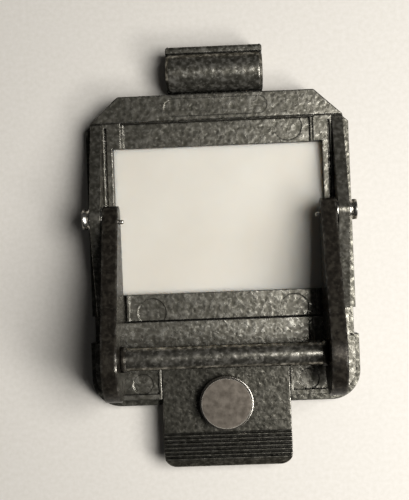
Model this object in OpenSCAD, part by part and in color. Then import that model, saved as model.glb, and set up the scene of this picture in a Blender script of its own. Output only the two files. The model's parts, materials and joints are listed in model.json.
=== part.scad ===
// Slide duplicator stage: a cast stage with an opal window and a slide recess, a swinging bail,
// a sliding slide rest with a knurled clamp knob, and a barrel block at its head.
// It lies on its back: +Z is out of the stage, +Y towards the head, +X to the right.
// Sizes along Y are taken from the bail's pivot axis. The whole model is then moved along Y,
// so that the origin is at the middle of the underside.

/* [Body outline] */
// Width of the shell's shelf outside each cheek
shelf_w = 2; // [1.4:0.1:3]
// How far each lug stands out past the shell's side
lug_swell = 0.6; // [0.4:0.1:2]
// How far the waist above each lug is drawn in from the shell's side
waist_in = 0.7; // [0.4:0.1:1]
// Width of each chamfer at the head
head_chamfer_w = 9.5; // [7:0.1:12]
// Length of each chamfer at the head
head_chamfer_l = 8.8; // [7:0.1:11]
// Length of the waist above each lug
waist_l = 7.4; // [5:0.2:8]
// Length of a lug, from the waist to the foot edge of the shell
lug_l = 17.7; // [16:0.1:20]
// Radius of the two lower corners of the lugs
lug_corner_r = 8; // [5:0.5:9]
// Width of the tongue under the slide rest's tab
tongue_w = 22; // [18:1:26]
// Length of the tongue past the clamp screw's axis
tongue_l = 7.6; // [6:0.1:10]
// Corner radius of the tongue
tongue_corner_r = 3; // [1:0.5:5]

/* [Levels] */
// Height of the rear shell
shell_h = 4.5; // [4.3:0.1:6]
// Wall of the rear shell
shell_wall = 1.6; // [1.2:0.1:2]
// Thickness of the shell's floor
shell_floor = 1.6; // [1.2:0.1:1.6]
// Thickness of the stage frame
frame_t = 4.5; // [4.3:0.1:6]
// Depth of the slide recess below the stage face
recess_depth = 1.6; // [1.2:0.1:2]
// Depth of the bed that the slide rest runs on, below the stage face
bed_depth = 3; // [2.8:0.1:3.2]
// Depth of the sunken lug floors below the stage face
lug_floor_depth = 0.8; // [0.4:0.1:1.2]

/* [Stage frame] */
// Set-back of the frame's head behind the shell's edge
head_set_back = 0.5; // [0.3:0.1:1]
// Set-back of the frame's lugs inside the shell's edge
lug_set_back = 1.7; // [1.2:0.1:2.4]
// Set-back of the frame's foot edge inside the shell's edge
foot_set_back = 2.1; // [1.4:0.1:2.8]
// Width of the window opening
window_w = 57.3; // [54:0.1:58]
// Pivot axis up to the window's top edge
window_top_y = 19.4; // [17:0.2:21]
// Pivot axis down to the window's lower edge
window_end_y = 20.8; // [18:0.2:22]
// Width of the slide recess, a 50 mm slide mount and its play
recess_w = 51; // [50.5:0.1:52]
// Length of the recess floor above the window
recess_head_l = 6.6; // [4:0.1:9]
// Length of the recess floor below the window
recess_foot_l = 7.2; // [6:0.1:9]
// Land between the window's side and the cheek
side_land = 2.75; // [2.6:0.05:4]
// Width of the lead-in step along each side of the recess
lead_in_w = 0.8; // [0.4:0.1:1.2]
// Depth of the lead-in step
lead_in_depth = 0.6; // [0.3:0.1:1]
// Width of the relief groove beside each cheek
relief_w = 0.7; // [0.4:0.1:1]
// Depth of the relief groove
relief_depth = 0.9; // [0.5:0.1:1.4]
// Land between the relief groove and the cheek
relief_land = 0.6; // [0.4:0.1:0.8]
// Distance of the ejector marks' centres from the sides of the recess
floor_mark_in = 6; // [5:0.1:9]
// Distance of the ejector marks' centres from the ends of the recess
floor_mark_end = 2.2; // [1:0.1:3]
// Radius of the ejector marks on the recess floor
floor_mark_r = 3.85; // [3:0.05:4.5]
// Distance of a lug's ejector mark from the side of the tab's slot
lug_mark_in = 5.1; // [4:0.1:7]
// Radius of the ejector marks on the lugs
lug_mark_r = 2.75; // [2:0.05:3]
// Depth of the ejector marks
mark_depth = 0.3; // [0.1:0.05:0.4]
// Rim left round each sunken lug floor
lug_rim = 1.4; // [1:0.1:2]
// Length of each sunken lug floor
lug_floor_l = 7.75; // [6.2:0.05:9]

/* [Cheeks] */
// Pivot axis above the stage face
pivot_h = 6; // [5.5:0.1:8]
// Thickness of a cheek
cheek_t = 3; // [2.4:0.1:3.2]
// Radius of a cheek's tip
cheek_tip_r = 3.1; // [2.8:0.1:4]
// Pivot axis down to the cheek's lower end
cheek_end_y = 26.2; // [24:0.2:27]
// Thickness of the frame left under a cheek, above the diffuser screws' threads
cheek_ledge_t = 0.3; // [0.2:0.1:0.5]
// Distance of the cheeks' screws from the pivot axis
cheek_screw_out = 18; // [14:0.5:21]
// Thread diameter of the cheeks' screws
cheek_screw_d = 1.2; // [1:0.1:1.3]
// How far the cheeks' screws reach into the frame
cheek_screw_grip = 1.6; // [1.2:0.1:1.8]

/* [Name plate] */
// Thickness of the name plate
plate_t = 1.2; // [1:0.1:1.6]
// Length of the name plate along Y, with its set-back from the shell's edge
plate_l = 7.6; // [6:0.1:10]
// Gap between the recess and the plate's lower edge
plate_gap = 0.2; // [0:0.1:1]
// Radius of the bare label panel sunk into the plate
panel_r = 2.4; // [1.5:0.1:3]
// Length of the bare label panel
panel_l = 28; // [16:1:32]
// Depth of the bare label panel
panel_depth = 0.15; // [0.1:0.05:0.3]

/* [Opal window] */
// Thickness of the opal plate
opal_t = 2.2; // [2:0.1:2.4]
// Depth of the opal plate's seat in the back of the frame
opal_seat = 1.1; // [0.8:0.1:1.2]
// Margin of the opal plate behind the window's edge
opal_margin = 1.5; // [1:0.1:2]
// Thickness of the frame that holds the opal plate
retainer_t = 0.8; // [0.6:0.1:1]
// Width of that frame's clamping lip over the opal plate
retainer_lip = 3; // [2:0.5:4]
// Width of that frame outside the opal plate
retainer_rim = 3; // [2.8:0.1:3.2]

/* [Bail] */
// Pivot axis down to the cross bar's axis
bar_y = 37.1; // [35.5:0.1:38.5]
// Cross bar's axis above the stage face
bar_h = 12.6; // [12.3:0.1:16]
// Diameter of the cross bar
bar_d = 6.1; // [5:0.1:7]
// Diameter of the cross bar's journals in the arms
bar_journal_d = 4; // [3:0.1:4.5]
// Thickness of an arm
arm_t = 4.1; // [3.6:0.1:4.4]
// Radius of an arm's pivot end
arm_tip_r = 3.3; // [3:0.1:4]
// Radius of an arm's round end
arm_end_r = 11; // [8:0.5:11]
// Diameter of the grooved collars on the cross bar
collar_d = 6.8; // [6.4:0.1:8]
// Length of a collar
collar_l = 1.5; // [1:0.1:3]
// Length of the small pin that stands out of each arm's inner face
nub_l = 1.3; // [0.8:0.1:1.6]
// Diameter of that small pin
nub_d = 1.2; // [0.8:0.1:1.4]
// Offset of that small pin below the pivot axis
nub_y = 1; // [0.6:0.1:1.4]

/* [Pivots] */
// Diameter of a pivot pin's shank
pivot_d = 3; // [2.6:0.1:3.2]
// Diameter of a pivot pin's head
pivot_head_d = 5.4; // [4.6:0.1:6]
// Length of a pivot pin's head
pivot_head_l = 2; // [1.4:0.1:2.2]
// Wall of the bush pressed into each arm
pivot_bush_wall = 0.5; // [0.4:0.1:0.6]
// Diameter of the washer between cheek and arm
pivot_washer_d = 6; // [5:0.1:6.4]
// Thickness of that washer
pivot_washer_t = 0.4; // [0.3:0.05:0.5]
// Wall left between the pivot bush and the arm's inner face
arm_blind_wall = 1; // [0.8:0.1:1.2]

/* [Slide rest] */
// Width of the tab
tab_w = 34.8; // [32:0.2:36]
// Length of the tab past the clamp screw's axis
tab_l = 17.9; // [16:0.1:24]
// Corner radius of the tab
tab_corner_r = 3.3; // [2:0.1:5]
// Height of the tab's face below the stage face
tab_drop = 0.2; // [0.1:0.1:0.6]
// Length of the bevel at the tab's end
tab_bevel = 2.1; // [1:0.1:3]
// Thickness left at the end of the bevel
tab_edge_t = 1; // [0.6:0.1:1.6]
// Length of the cross ledge along Y
ledge_l = 6.95; // [5:0.05:7.5]
// Height of the cross ledge above the recess floor
ledge_rise = 1; // [0.6:0.1:1.4]
// Width of the groove across the ledge near its right end
ledge_groove_w = 1.1; // [0.6:0.1:1.6]
// Centre of that groove from the middle
ledge_groove_x = 23.75; // [20:0.25:25]
// Depth of that groove
ledge_groove_depth = 0.8; // [0.4:0.1:1.2]
// How far the rest slides down from its shut position
rest_travel = 4; // [3:0.5:5]
// Number of grooves in the thumb grip
grip_count = 7; // [4:1:9]
// Pitch of the grip grooves
grip_pitch = 1.07; // [0.9:0.01:1.1]
// Width of a grip groove
grip_w = 0.45; // [0.3:0.05:0.6]
// Depth of a grip groove
grip_depth = 0.6; // [0.3:0.05:0.9]

/* [Clamp] */
// Distance of the clamp screw's axis inside the shell's foot edge
clamp_in = 1.1; // [0:0.1:2]
// Diameter of the knob
knob_d = 14.3; // [13.8:0.1:16]
// Height of the knob's knurled rim
knob_h = 5; // [3.5:0.1:8]
// Width of the knob's edge chamfer
knob_chamfer = 0.5; // [0.3:0.1:0.8]
// Diameter of the clamp screw
stud_d = 4; // [3:0.1:4.4]
// Diameter of the washer under the knob
washer_d = 11; // [9:0.5:12]
// Thickness of the washer under the knob
washer_t = 0.5; // [0.4:0.1:1]
// Outer diameter of the threaded bush in the tongue
bush_d = 7; // [6:0.1:8]

/* [Barrel block] */
// Diameter of the barrel
barrel_d = 10.8; // [9:0.1:12]
// Length of the block along X
barrel_l = 26.3; // [24:0.1:32]
// Chamfer at the barrel's ends
barrel_chamfer = 0.9; // [0.4:0.1:1.2]
// Gap between the barrel and the head
barrel_gap = 0.3; // [0.2:0.1:1]
// How far the block's base stands back under the barrel
barrel_base_in = 0.6; // [0.4:0.1:1.2]
// Thickness of the lip along the block's far edge
lip_t = 1.8; // [1:0.1:2]
// How far the lip stands in over the barrel's far side
lip_over = 0.3; // [0.2:0.1:0.8]
// Height of the lip above the stage face
lip_h = 0.5; // [0:0.1:2]
// Corner radius of the block's far corners
lip_corner_r = 0.9; // [0.5:0.1:1.5]
// Wall left round the hollow in the block's underside
barrel_wall = 2.1; // [1.6:0.1:2.6]
// Height of the block's underside above the surface that the stage lies on
barrel_lift = 0.4; // [0.3:0.1:1]
// Height of the barrel's axis above that surface
barrel_z = 7.2; // [7:0.1:9]
// Width of the block's foot inside the shell
barrel_foot_w = 20; // [16:1:22]
// Thickness of the block's foot
barrel_foot_t = 2; // [1.6:0.1:2.4]
// Length of the block's foot inside the shell's wall
barrel_foot_l = 5; // [4:0.2:6]

/* [Fasteners] */
// Thread diameter of the case screws
case_screw_d = 2.5; // [2:0.1:3]
// Distance of the head's case screws from the ends of the straight top edge
case_screw_in = 4.9; // [4:0.1:7]
// Distance of the head's case screws from the top edge
case_screw_down = 5; // [4.6:0.1:6]
// Distance of the lugs' case screws from the shell's side
lug_screw_in = 9.8; // [8:0.1:12]
// Distance of the lugs' case screws from the shell's foot edge
lug_screw_up = 6; // [5:0.1:8]
// Distance of the name plate's screws from the ends of the straight top edge
plate_screw_in = 11.4; // [9.5:0.1:14]
// Distance of the barrel block's screws from the sides of its foot
barrel_screw_in = 4; // [2.4:0.1:6]
// Distance of the retainer's screws from the window's upper and lower edges
retainer_screw_in = 3; // [2:0.1:5]
// How far the screws' threads reach into what they hold
thread_grip = 1; // [0.8:0.1:1.4]
// Height of the diffuser screws' heads
retainer_screw_head_l = 0.7; // [0.5:0.1:0.9]
// Height of the heads of the cross bar's screws
bar_screw_head_l = 1.2; // [0.8:0.1:2]
// How far the heads of the cross bar's screws stand past their journals
bar_screw_rim = 0.8; // [0.4:0.1:1.2]
// Length of the thread of the cross bar's screws
bar_screw_l = 4; // [3:0.5:8]
// Wall of the bosses round the case screws' heads
case_boss_wall = 0.7; // [0.5:0.1:1.2]
// Thread diameter of the small screws
small_screw_d = 1.6; // [1.4:0.1:1.8]
// Diameter of the camera thread in the back
camera_thread_d = 6.35; // [6.35]
// Depth of the camera thread
camera_thread_l = 4; // [3.5:0.1:4]
// Wall of the camera thread's bush
camera_bush_wall = 1.3; // [1:0.1:2]
// Wall of the shell's boss round the camera bush
camera_boss_wall = 1.5; // [1:0.1:3]
// Distance of the camera thread's axis above the foot edge
camera_up = 15.5; // [13:0.5:18]

/* [Fits] */
// Radial play of a turning pin
run_fit = 0.05; // [0.03:0.01:0.08]
// Radial play of a pressed or screwed piece
seat_fit = 0.02; // [0.01:0.01:0.04]
// Gap between flat faces that slide
slide_gap = 0.1; // [0.08:0.01:0.15]
// Gap beside parts that swing, and past the ends of parts that slide
swing_gap = 0.3; // [0.25:0.05:0.4]

/* [Hidden] */
$fn = 64;
cut = 1; // how far a cutting shape runs past a face
web_in = 0.01; // straight sides cross a round end this far inside its tangents, so that the two join
face_z = shell_h + frame_t;
recess_z = face_z - recess_depth;
bed_z = face_z - bed_depth;
lug_z = face_z - lug_floor_depth;
pivot_z = face_z + pivot_h;
bar_z = face_z + bar_h;

// Widths, from the window outwards
cheek_gap = window_w + 2 * side_land;
frame_w = cheek_gap + 2 * cheek_t;
body_w = frame_w + 2 * shelf_w;
lug_w = body_w + 2 * lug_swell;
waist_w = body_w - 2 * waist_in;
head_w = body_w - 2 * head_chamfer_w;

// Distances from the pivot axis, up to the head
recess_top_y = window_top_y + recess_head_l;
plate_y = recess_top_y + plate_gap;
head_y = plate_y + plate_l;
shoulder_y = head_y - head_chamfer_l;
cheek_top_y = plate_y - slide_gap;

// Distances from the pivot axis, down to the foot and the tab
recess_end_y = window_end_y + recess_foot_l;
ledge_top_y = recess_end_y + swing_gap;
ledge_end_y = ledge_top_y + ledge_l;
trough_end_y = ledge_end_y + rest_travel + swing_gap;
foot_y = trough_end_y + 1.5 * lug_rim + lug_floor_l + foot_set_back;
waist_end_y = foot_y - lug_l;
waist_top_y = waist_end_y - waist_l;
frame_foot_y = foot_y - foot_set_back;
clamp_y = foot_y - clamp_in;
tongue_y = clamp_y + tongue_l;
tab_end_y = clamp_y + tab_l;
camera_y = foot_y - camera_up;

// The clamp stack, up from the tab's face
tab_z = face_z - tab_drop;
washer_z = tab_z + slide_gap;
knob_z = washer_z + washer_t;

// The slide rest
rest_z = bed_z + slide_gap;
ledge_w = window_w - 2 * slide_gap;
ledge_z = recess_z + ledge_rise;
slot_w = tab_w + 2 * slide_gap;

// The bail
arm_x = cheek_gap / 2 - pivot_washer_t - slide_gap;
arm_inner_x = arm_x - arm_t;
pivot_bush_d = pivot_d + 2 * run_fit + 2 * pivot_bush_wall;
pivot_seat_l = arm_t - arm_blind_wall;

// The opal window
opal_z = shell_h + opal_seat;
retainer_z = opal_z - opal_t - retainer_t;
retainer_screw_x = window_w / 2 + opal_margin + retainer_rim / 2;
retainer_screw_y = [window_top_y - retainer_screw_in, -window_end_y + retainer_screw_in];

// The barrel block
barrel_y = head_y + barrel_gap + barrel_d / 2;
lip_y = barrel_y + barrel_d / 2 - lip_over;
barrel_top_y = lip_y + lip_t;
foot_in_y = head_y - shell_wall - barrel_foot_l;

// The cheeks' seats in the frame, and their screws
cheek_seat_z = shell_h + thread_grip + cheek_ledge_t;
cheek_screw_y = [-cheek_screw_out, cheek_screw_out];
cheek_screw_z = cheek_seat_z + cheek_screw_d + slide_gap;

// Screws, as [x, y]
case_screw_at = [for (x = [-1, 1]) each [
    [x * (head_w / 2 - case_screw_in), head_y - case_screw_down],
    [x * (lug_w / 2 - lug_screw_in), -(foot_y - lug_screw_up)]
]];
plate_screw_at = [for (x = [-1, 1]) [x * (head_w / 2 - plate_screw_in), (head_y + plate_y) / 2]];
barrel_screw_at =
    [for (x = [-1, 1]) [x * (barrel_foot_w / 2 - barrel_screw_in), foot_in_y + barrel_foot_l / 2]];
retainer_screw_at = [for (x = [-1, 1], y = retainer_screw_y) [x * retainer_screw_x, y]];

// How far the screws reach into what they hold, and the heads of the cross bar's screws
case_screw_grip = bed_z - shell_h + thread_grip;
case_screw_l = shell_h + case_screw_grip - seat_fit;
plate_screw_grip = plate_t - 0.4;
retainer_pad_h = opal_t - opal_seat;
bar_screw_head_d = bar_journal_d + 2 * bar_screw_rim;
camera_bush_d = camera_thread_d + 2 * camera_bush_wall;

// The clamp screw's bush and the screw's lower end
bush_z = 1.5;
stud_low_z = bush_z + swing_gap;
knob_crown = 1.5; // left above the screw's end in the knob

// The middle of the model along Y, which becomes the origin
middle_y = (barrel_top_y - tab_end_y) / 2;

// ---- helpers ----

module at_origin() { translate([0, -middle_y, 0]) children(); }

module both_sides() { for (side = [0, 1]) mirror([side, 0, 0]) children(); }

// A cylinder along +X from x
module rod_x(x, y, z, d, l) { translate([x, y, z]) rotate([0, 90, 0]) cylinder(d = d, h = l); }

// A block between two corners
module block(low, high) { translate(low) cube(high - low); }

// A screwdriver slot in a head of diameter d whose face is at x
module driver_slot(x, y, z, d) {
    slot_w = 0.7;
    block([x - slot_w, y - d, z - slot_w / 2], [x + cut, y + d, z + slot_w / 2]);
}

// A rounded plate, centred on x = 0, between two y values
module rounded_area(w, low_y, high_y, r) {
    translate([-w / 2 + r, low_y]) square([w - 2 * r, high_y - low_y]);
    translate([-w / 2, low_y + r]) square([w, high_y - low_y - 2 * r]);
    for (x = [-1, 1], y = [low_y + r, high_y - r]) translate([x * (w / 2 - r), y]) circle(r);
}

// Where a line from point p touches a circle, on its left (turn 1) or right (turn -1)
function touch(p, c, r, turn) =
    let (d = norm(c - p), a = atan2(c[1] - p[1], c[0] - p[0]) + turn * asin(r / d))
    p + sqrt(d * d - r * r) * [cos(a), sin(a)];

// The outline shared by shell and frame: chamfered head, sides, waist and round-cornered lugs
module body_area(head_in, side_w, neck_w, low_w, low_y, low_r) {
    run_x = (body_w - head_w) / 2;
    run_y = head_y - shoulder_y;
    slope_l = norm([run_x, run_y]);
    top_x = head_w / 2 - head_in * (slope_l - run_x) / run_y;
    side_y = head_y - (head_in * slope_l + (side_w - head_w) / 2 * run_y) / run_x;
    polygon([
        [-top_x, head_y - head_in], [top_x, head_y - head_in], [side_w / 2, side_y],
        [side_w / 2, -waist_top_y], [-side_w / 2, -waist_top_y], [-side_w / 2, side_y]
    ]);
    translate([-neck_w / 2, -waist_end_y - cut]) square([neck_w, waist_end_y - waist_top_y + 2 * cut]);
    intersection() {
        rounded_area(low_w, -low_y, -waist_end_y + low_r, low_r);
        translate([-low_w, -low_y]) square([2 * low_w, low_y - waist_end_y]);
    }
}

module tongue_area(w) { rounded_area(w, -tongue_y, -frame_foot_y + tongue_corner_r + cut, tongue_corner_r); }

// A countersunk screw with its head's flat side at z = 0 and its shank going up
module flat_screw(d, l) {
    difference() {
        union() {
            cylinder(d1 = 2 * d, d2 = d, h = d / 2);
            cylinder(d = d, h = l);
        }
        block([-d, -d / 7, -cut], [d, d / 7, d / 4]);
    }
}

module flat_screw_hole(d, l, play) {
    translate([0, 0, -cut]) cylinder(d = 2 * d + 2 * play, h = cut);
    cylinder(d1 = 2 * d + 2 * play, d2 = d + 2 * play, h = d / 2);
    cylinder(d = d + 2 * play, h = l + play);
}

// ---- the fixed body ----

// A cheek stands in a notch in the frame's side, and its rim runs straight down to the seat
module cheek() {
    seat = cheek_seat_z - pivot_z;
    up = [cheek_top_y, -pivot_h];
    down = [-cheek_end_y, -pivot_h];
    tip = cheek_tip_r - web_in;
    difference() {
        translate([cheek_gap / 2, 0, pivot_z]) rotate([90, 0, 90]) {
            cylinder(r = cheek_tip_r, h = cheek_t);
            linear_extrude(cheek_t) polygon([
                [-cheek_end_y, seat], [cheek_top_y, seat], up, touch(up, [0, 0], tip, -1), [0, 0],
                touch(down, [0, 0], tip, 1), down
            ]);
        }
        rod_x(0, 0, pivot_z, pivot_d + 2 * seat_fit, frame_w);
        cheek_screw_holes();
    }
}

module cheek_screw_holes() {
    for (y = cheek_screw_y) translate([frame_w / 2, y, cheek_screw_z]) rotate([0, -90, 0])
        flat_screw_hole(cheek_screw_d, cheek_t + cheek_screw_grip, seat_fit);
}

module right_cheek() { color("#3a3935") at_origin() cheek(); }
module left_cheek() { color("#3a3935") at_origin() mirror([1, 0, 0]) cheek(); }

module cheek_screws() {
    color("silver") at_origin() both_sides()
        for (y = cheek_screw_y) translate([frame_w / 2, y, cheek_screw_z]) rotate([0, -90, 0])
            flat_screw(cheek_screw_d, cheek_t + cheek_screw_grip);
}

// The face of the frame that is cut away for the slide, the rest and its tab
module stage_cuts() {
    above = face_z + cut;
    step_w = recess_w + 2 * lead_in_w;
    block([-window_w / 2, -window_end_y, 0], [window_w / 2, window_top_y, above]);
    block([-recess_w / 2, -recess_end_y - cut, recess_z], [recess_w / 2, recess_top_y, above]);
    block([-step_w / 2, -recess_end_y, face_z - lead_in_depth], [step_w / 2, recess_top_y, above]);
    both_sides() block(
        [step_w / 2, -recess_end_y - cut, bed_z], [window_w / 2, -window_end_y, above]
    );
    block([-window_w / 2, -trough_end_y, bed_z], [window_w / 2, -recess_end_y, above]);
    block([-slot_w / 2, -tab_end_y, bed_z], [slot_w / 2, -trough_end_y + cut, above]);
    relief_x = cheek_gap / 2 - relief_land - relief_w;
    both_sides() block(
        [relief_x, -cheek_end_y, face_z - relief_depth], [relief_x + relief_w, recess_top_y - cut, above]
    );
    lug_floor_x = slot_w / 2 + lug_rim / 2;
    both_sides() block(
        [lug_floor_x, -(frame_foot_y - lug_rim), lug_z],
        [frame_w / 2 - lug_rim, -(trough_end_y + lug_rim / 2), above]
    );
    mark_x = recess_w / 2 - floor_mark_in;
    mark_y = recess_end_y - floor_mark_end;
    intersection() {
        for (at = [[-mark_x, -mark_y], [mark_x, -mark_y], [mark_x, recess_top_y - floor_mark_end]])
            translate([at[0], at[1], recess_z - mark_depth])
                cylinder(r = floor_mark_r, h = mark_depth + cut / 10);
        block([-recess_w / 2, -recess_end_y - cut, 0], [recess_w / 2, recess_top_y, above]);
    }
    lug_mark_y = -(frame_foot_y - lug_mark_r - lug_rim);
    both_sides() translate([slot_w / 2 + lug_mark_in, lug_mark_y, lug_z - mark_depth])
        cylinder(r = lug_mark_r, h = mark_depth + cut / 10);
}

module stage_frame() {
    low_w = lug_w - 2 * lug_set_back;
    color("dimgray") at_origin() difference() {
        union() {
            translate([0, 0, shell_h]) linear_extrude(frame_t) body_area(
                head_set_back, frame_w, waist_w - 2 * lug_set_back, low_w, frame_foot_y, lug_corner_r - 1
            );
            translate([0, 0, shell_h]) linear_extrude(bed_z - shell_h) tongue_area(tongue_w);
        }
        stage_cuts();
        both_sides() {
            block(
                [cheek_gap / 2 - seat_fit, -cheek_end_y - seat_fit, cheek_seat_z - seat_fit],
                [frame_w, cheek_top_y + seat_fit, face_z + cut]
            );
            cheek_screw_holes();
        }
        translate([0, 0, shell_h - cut]) linear_extrude(opal_seat + cut) opal_area(seat_fit);
        for (at = case_screw_at) translate([at[0], at[1], shell_h - cut])
            cylinder(d = case_screw_d + 2 * seat_fit, h = cut + case_screw_grip);
        for (at = plate_screw_at)
            translate([at[0], at[1], shell_h]) flat_screw_hole(small_screw_d, frame_t + cut, seat_fit);
        for (at = retainer_screw_at) translate([at[0], at[1], shell_h - cut])
            cylinder(d = small_screw_d + 2 * seat_fit, h = cut + thread_grip + seat_fit);
        translate([0, -clamp_y, shell_h - cut]) cylinder(d = bush_d + 2 * seat_fit, h = frame_t + 2 * cut);
    }
}

module rear_shell() {
    boss_d = 2 * case_screw_d + 2 * case_boss_wall;
    camera_boss_d = camera_bush_d + 2 * camera_boss_wall;
    light_w = window_w - 2 * retainer_lip;
    color("#3a3935") at_origin() difference() {
        union() {
            difference() {
                linear_extrude(shell_h) body_area(0, body_w, waist_w, lug_w, foot_y, lug_corner_r);
                translate([0, 0, shell_floor]) linear_extrude(shell_h) body_area(
                    shell_wall, body_w - 2 * shell_wall, waist_w - 2 * shell_wall,
                    lug_w - 2 * shell_wall, foot_y - shell_wall, lug_corner_r - shell_wall
                );
            }
            linear_extrude(shell_h) tongue_area(tongue_w);
            for (at = case_screw_at) translate([at[0], at[1], 0]) cylinder(d = boss_d, h = shell_h);
            translate([0, -camera_y, 0]) cylinder(d = camera_boss_d, h = shell_h);
        }
        block(
            [-light_w / 2, -window_end_y + retainer_lip, -cut],
            [light_w / 2, window_top_y - retainer_lip, shell_floor + cut]
        );
        block(
            [-barrel_foot_w / 2 - slide_gap, head_y - shell_wall - cut, shell_floor],
            [barrel_foot_w / 2 + slide_gap, head_y + cut, shell_floor + barrel_foot_t + slide_gap]
        );
        for (at = case_screw_at)
            translate([at[0], at[1], 0]) flat_screw_hole(case_screw_d, shell_h + cut, seat_fit);
        for (at = barrel_screw_at)
            translate([at[0], at[1], 0]) flat_screw_hole(small_screw_d, shell_h, seat_fit);
        translate([0, -camera_y, -cut]) cylinder(d = camera_bush_d + 2 * seat_fit, h = camera_thread_l + cut);
        translate([0, -clamp_y, bush_z]) cylinder(d = bush_d + 2 * seat_fit, h = shell_h);
    }
}

module name_plate() {
    color("#4c4a44") at_origin() difference() {
        translate([0, 0, face_z]) linear_extrude(plate_t) intersection() {
            body_area(head_set_back, frame_w, waist_w, lug_w, foot_y, lug_corner_r);
            translate([-frame_w / 2, plate_y]) square([frame_w, head_y]);
        }
        plate_mid_y = plate_screw_at[0][1] - head_set_back / 2;
        translate([0, 0, face_z + plate_t - panel_depth]) linear_extrude(cut)
            rounded_area(panel_l, plate_mid_y - panel_r, plate_mid_y + panel_r, panel_r - cut / 10);
        for (at = plate_screw_at) translate([at[0], at[1], face_z - cut])
            cylinder(d = small_screw_d + 2 * seat_fit, h = cut + plate_screw_grip + seat_fit);
    }
}

module name_plate_screws() {
    color("silver") at_origin() for (at = plate_screw_at)
        translate([at[0], at[1], shell_h]) flat_screw(small_screw_d, frame_t + plate_screw_grip);
}

module case_screws() {
    color("silver") at_origin() for (at = case_screw_at)
        translate([at[0], at[1], 0]) flat_screw(case_screw_d, case_screw_l);
}

// ---- the opal window and what holds it ----

module opal_area(play) {
    w = window_w + 2 * opal_margin + 2 * play;
    translate([-w / 2, -window_end_y - opal_margin - play])
        square([w, window_top_y + window_end_y + 2 * opal_margin + 2 * play]);
}

module opal_window() {
    color("#ece8e0") at_origin() translate([0, 0, opal_z - opal_t]) linear_extrude(opal_t) opal_area(0);
}

module diffuser_retainer() {
    w = window_w + 2 * opal_margin + 2 * retainer_rim;
    light_w = window_w - 2 * retainer_lip;
    color("#2c2c2c") at_origin() difference() {
        union() {
            block(
                [-w / 2, -window_end_y - opal_margin, retainer_z],
                [w / 2, window_top_y + opal_margin, retainer_z + retainer_t]
            );
            for (at = retainer_screw_at) translate([at[0], at[1], retainer_z])
                cylinder(d = retainer_rim - 2 * slide_gap, h = retainer_t + retainer_pad_h);
        }
        block(
            [-light_w / 2, -window_end_y + retainer_lip, retainer_z - cut],
            [light_w / 2, window_top_y - retainer_lip, retainer_z + retainer_t + cut]
        );
        for (at = retainer_screw_at) translate([at[0], at[1], retainer_z])
            cylinder(d = small_screw_d + 2 * seat_fit, h = 2 * shell_h, center = true);
    }
}

module diffuser_screws() {
    thread_l = retainer_t + retainer_pad_h + thread_grip;
    color("silver") at_origin() for (at = retainer_screw_at)
        translate([at[0], at[1], retainer_z - retainer_screw_head_l]) {
            cylinder(d = 1.7 * small_screw_d, h = retainer_screw_head_l);
            cylinder(d = small_screw_d, h = retainer_screw_head_l + thread_l);
        }
}

// ---- the barrel block ----

module barrel_block() {
    base_y = head_y + barrel_gap + barrel_base_in;
    lip_z = face_z + lip_h;
    body_l = barrel_l - 2 * barrel_chamfer;
    core = barrel_d / 2 - barrel_wall;
    color("#33322e") at_origin() difference() {
        union() {
            rod_x(-body_l / 2, barrel_y, barrel_z, barrel_d, body_l);
            both_sides() translate([body_l / 2, barrel_y, barrel_z]) rotate([0, 90, 0])
                cylinder(d1 = barrel_d, d2 = barrel_d - 2 * barrel_chamfer, h = barrel_chamfer);
            translate([0, 0, barrel_lift]) linear_extrude(barrel_z - barrel_lift) barrel_plan(base_y);
            translate([0, 0, barrel_lift]) linear_extrude(lip_z - barrel_lift) barrel_plan(lip_y);
            block(
                [-barrel_foot_w / 2, foot_in_y, shell_floor],
                [barrel_foot_w / 2, base_y + cut, shell_floor + barrel_foot_t]
            );
        }
        block(
            [-barrel_l / 2 + barrel_wall, barrel_y - core, barrel_lift - cut],
            [barrel_l / 2 - barrel_wall, barrel_y + core, barrel_z + barrel_d / 2 - 1.5 * barrel_wall]
        );
        for (at = barrel_screw_at)
            translate([at[0], at[1], 0]) cylinder(d = small_screw_d + 2 * seat_fit, h = shell_h);
    }
}

// The block's outline from above, from that near edge to its rounded far corners
module barrel_plan(near_y) {
    intersection() {
        rounded_area(barrel_l, near_y - 2 * lip_corner_r, barrel_top_y, lip_corner_r);
        translate([-barrel_l, near_y]) square([2 * barrel_l, barrel_d + lip_t]);
    }
}

module barrel_screws() {
    color("silver") at_origin() for (at = barrel_screw_at)
        translate([at[0], at[1], 0]) flat_screw(small_screw_d, shell_floor + barrel_foot_t);
}

// ---- the bail ----

module pivot_pin() {
    shank_x = arm_inner_x + arm_blind_wall + slide_gap;
    rod_x(shank_x, 0, pivot_z, pivot_d, frame_w / 2 - shank_x);
    difference() {
        rod_x(frame_w / 2, 0, pivot_z, pivot_head_d, pivot_head_l);
        driver_slot(frame_w / 2 + pivot_head_l, 0, pivot_z, pivot_head_d);
    }
}

module right_pivot_pin() { color("silver") at_origin() pivot_pin(); }
module left_pivot_pin() { color("silver") at_origin() mirror([1, 0, 0]) pivot_pin(); }

module pivot_washers() {
    color("gainsboro") at_origin() both_sides() difference() {
        rod_x(arm_x + slide_gap, 0, pivot_z, pivot_washer_d, pivot_washer_t);
        rod_x(arm_x, 0, pivot_z, pivot_d + 2 * seat_fit, cheek_t);
    }
}

module pivot_bushes() {
    color("goldenrod") at_origin() both_sides() difference() {
        rod_x(arm_x - pivot_seat_l, 0, pivot_z, pivot_bush_d, pivot_seat_l);
        rod_x(arm_x - arm_t, 0, pivot_z, pivot_d + 2 * run_fit, 2 * arm_t);
    }
}

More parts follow.
